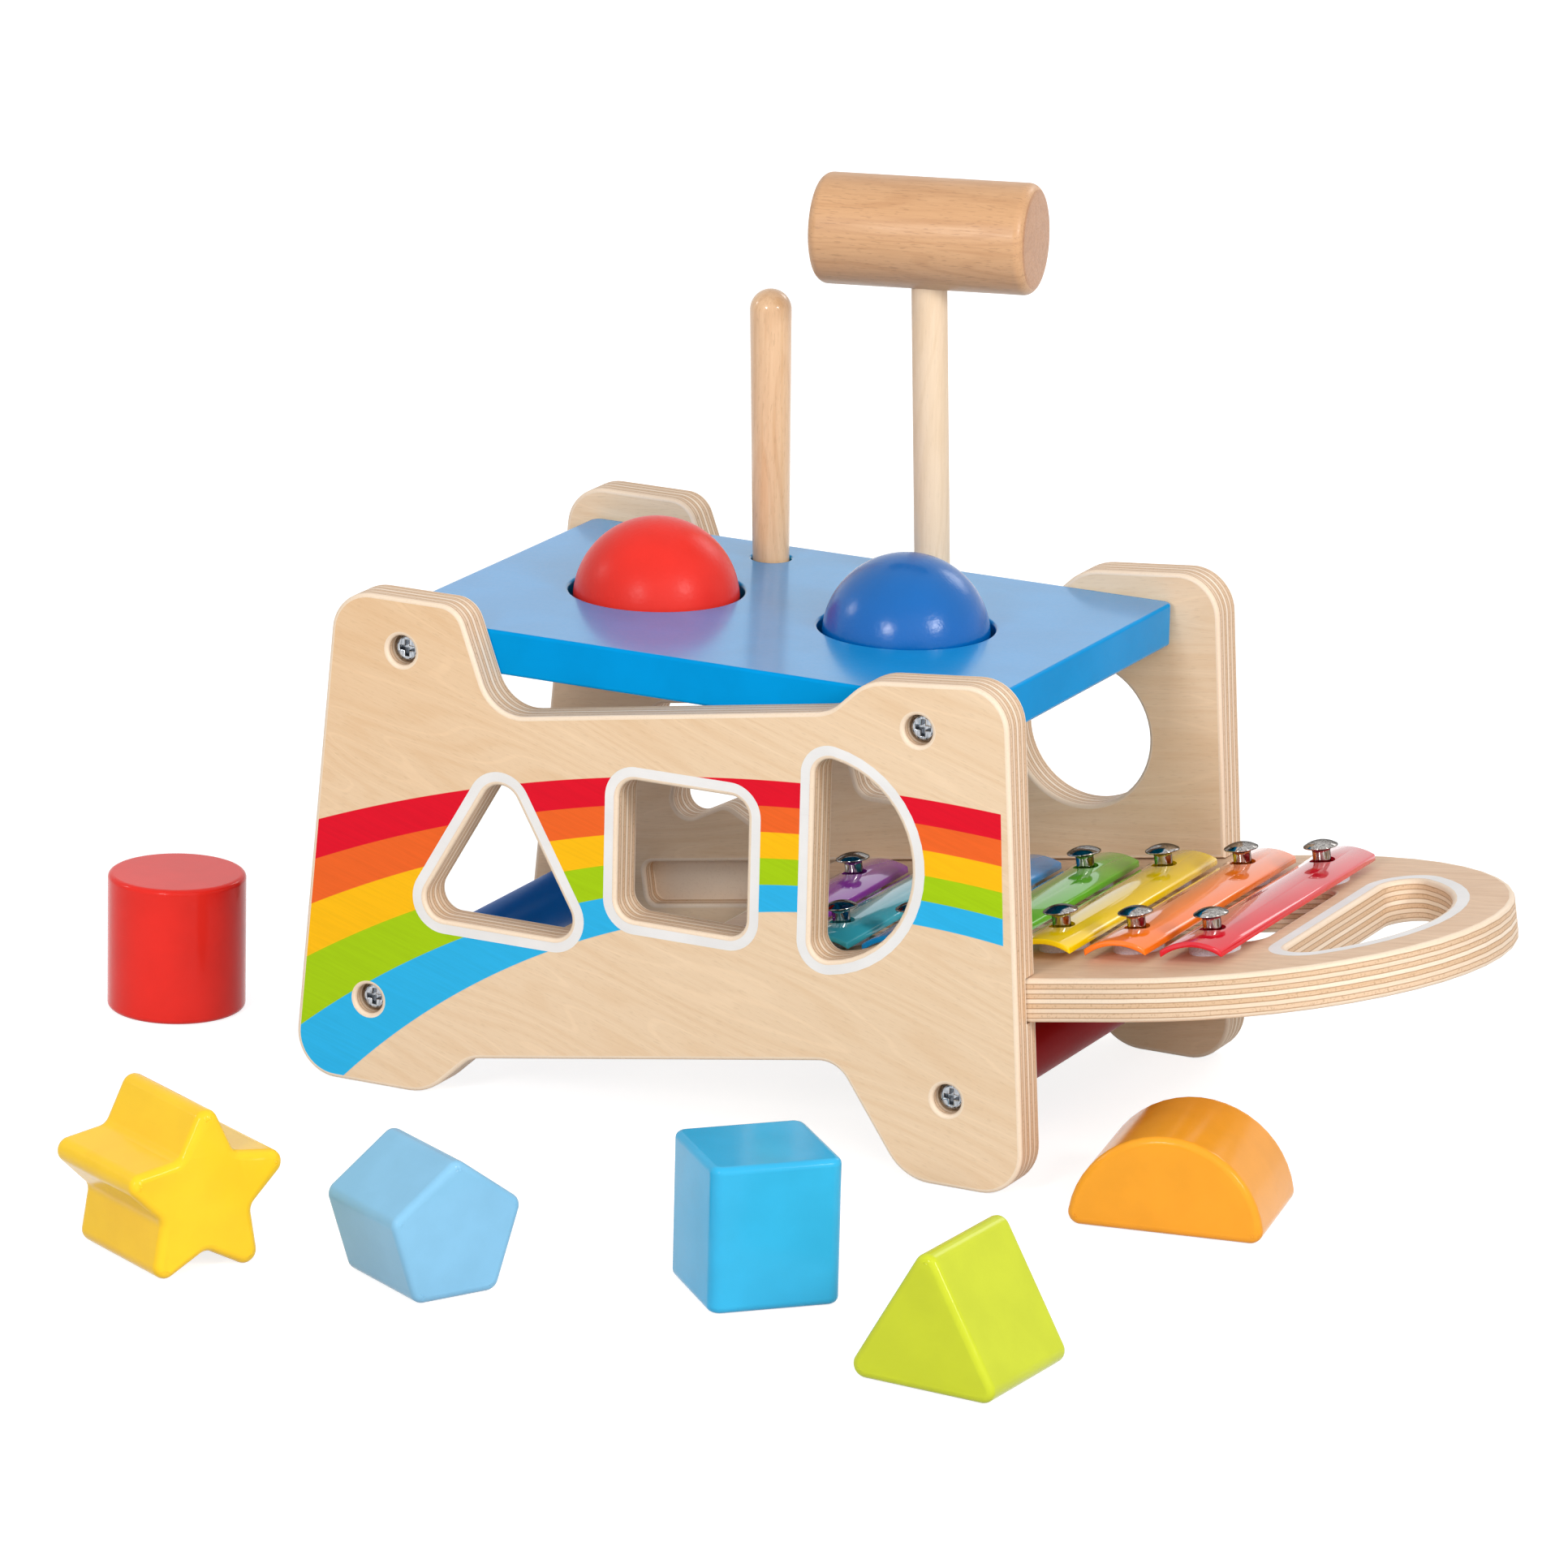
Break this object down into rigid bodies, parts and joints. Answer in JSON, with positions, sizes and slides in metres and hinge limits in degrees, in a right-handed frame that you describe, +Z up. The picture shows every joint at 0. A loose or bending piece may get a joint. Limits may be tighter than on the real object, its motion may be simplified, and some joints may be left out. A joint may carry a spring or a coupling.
{
  "type": "ball pounding bench",
  "caption": "Wooden toy hammer bench: balls sit in a plate between plywood sides with shape-sorter openings, above a sloping pull-out xylophone, with mallet, beater and loose blocks.",
  "frame": {"origin": "on the floor under the middle of the plate, midway between the two side panels", "axes": "+X along the bench to the end where the xylophone comes out, +Y from the near panel to the far panel, +Z up"},
  "size_m": [0.4063, 0.3303, 0.2475],
  "materials": {
    "plywood": "clear satin lacquer on birch plywood",
    "blue_lacquer": "satin lacquer",
    "dark_blue_lacquer": "satin lacquer",
    "dark_red_lacquer": "satin lacquer",
    "zinc": "zinc plated",
    "ring_rubber": "matt",
    "purple_enamel": "gloss enamel",
    "teal_enamel": "gloss enamel",
    "blue_enamel": "gloss enamel",
    "green_enamel": "gloss enamel",
    "yellow_enamel": "gloss enamel",
    "orange_enamel": "gloss enamel",
    "red_enamel": "gloss enamel",
    "nail_chrome": "polished",
    "felt": "felt",
    "red_lacquer": "satin lacquer",
    "ball_blue_lacquer": "gloss lacquer",
    "beech": "clear lacquer on beech",
    "birch": "clear lacquer on birch",
    "yellow_lacquer": "satin lacquer",
    "pale_blue_lacquer": "satin lacquer",
    "sky_blue_lacquer": "satin lacquer",
    "lime_lacquer": "satin lacquer",
    "orange_lacquer": "satin lacquer"
  },
  "bodies": {
    "bench": {"near_side_panel": "plywood", "far_side_panel": "plywood", "top_plate": "blue_lacquer", "left_crossbar": "dark_blue_lacquer", "right_crossbar": "dark_red_lacquer", "panel_screws": "zinc", "left_grip_ring": "ring_rubber", "right_grip_ring": "ring_rubber"},
    "xylophone": {"xylophone_board": "plywood", "purple_bar": "purple_enamel", "teal_bar": "teal_enamel", "blue_bar": "blue_enamel", "green_bar": "green_enamel", "yellow_bar": "yellow_enamel", "orange_bar": "orange_enamel", "red_bar": "red_enamel", "bar_nails": "nail_chrome", "felt_washers": "felt"},
    "red_ball": {"red_ball": "red_lacquer"},
    "blue_ball": {"blue_ball": "ball_blue_lacquer"},
    "mallet": {"mallet_head": "beech", "mallet_handle": "birch"},
    "beater": {"beater_stick": "beech"},
    "cylinder_block": {"cylinder_block": "red_lacquer"},
    "star_block": {"star_block": "yellow_lacquer"},
    "pentagon_block": {"pentagon_block": "pale_blue_lacquer"},
    "square_block": {"square_block": "sky_blue_lacquer"},
    "triangle_block": {"triangle_block": "lime_lacquer"},
    "half_round_block": {"half_round_block": "orange_lacquer"}
  },
  "joints": [
    {"name": "xylophone_slide", "type": "slide", "parent": "bench", "child": "xylophone", "axis": [0.9877, 0, 0.1564], "range_m": [-0.0585, 0.11]},
    {"name": "red_ball_drop", "type": "slide", "parent": "bench", "child": "red_ball", "axis": [0, 0, 1], "range_m": [-0.06, 0.05], "deforming": ["left_grip_ring"]},
    {"name": "blue_ball_drop", "type": "slide", "parent": "bench", "child": "blue_ball", "axis": [0, 0, 1], "range_m": [-0.048, 0.05], "deforming": ["right_grip_ring"]},
    {"name": "mallet_lift", "type": "slide", "parent": "bench", "child": "mallet", "axis": [0, 0, 1], "range_m": [0, 0.04]},
    {"name": "beater_lift", "type": "slide", "parent": "bench", "child": "beater", "axis": [0, 0, 1], "range_m": [0, 0.04]},
    {"name": "cylinder_block_lift", "type": "slide", "parent": "bench", "child": "cylinder_block", "axis": [0, 0, 1], "range_m": [0, 0.04]},
    {"name": "star_block_lift", "type": "slide", "parent": "bench", "child": "star_block", "axis": [0, 0, 1], "range_m": [0, 0.04]},
    {"name": "pentagon_block_lift", "type": "slide", "parent": "bench", "child": "pentagon_block", "axis": [0, 0, 1], "range_m": [0, 0.04]},
    {"name": "square_block_lift", "type": "slide", "parent": "bench", "child": "square_block", "axis": [0, 0, 1], "range_m": [0, 0.04]},
    {"name": "triangle_block_lift", "type": "slide", "parent": "bench", "child": "triangle_block", "axis": [0, 0, 1], "range_m": [0, 0.04]},
    {"name": "half_round_block_lift", "type": "slide", "parent": "bench", "child": "half_round_block", "axis": [0, 0, 1], "range_m": [0, 0.02]}
  ]
}
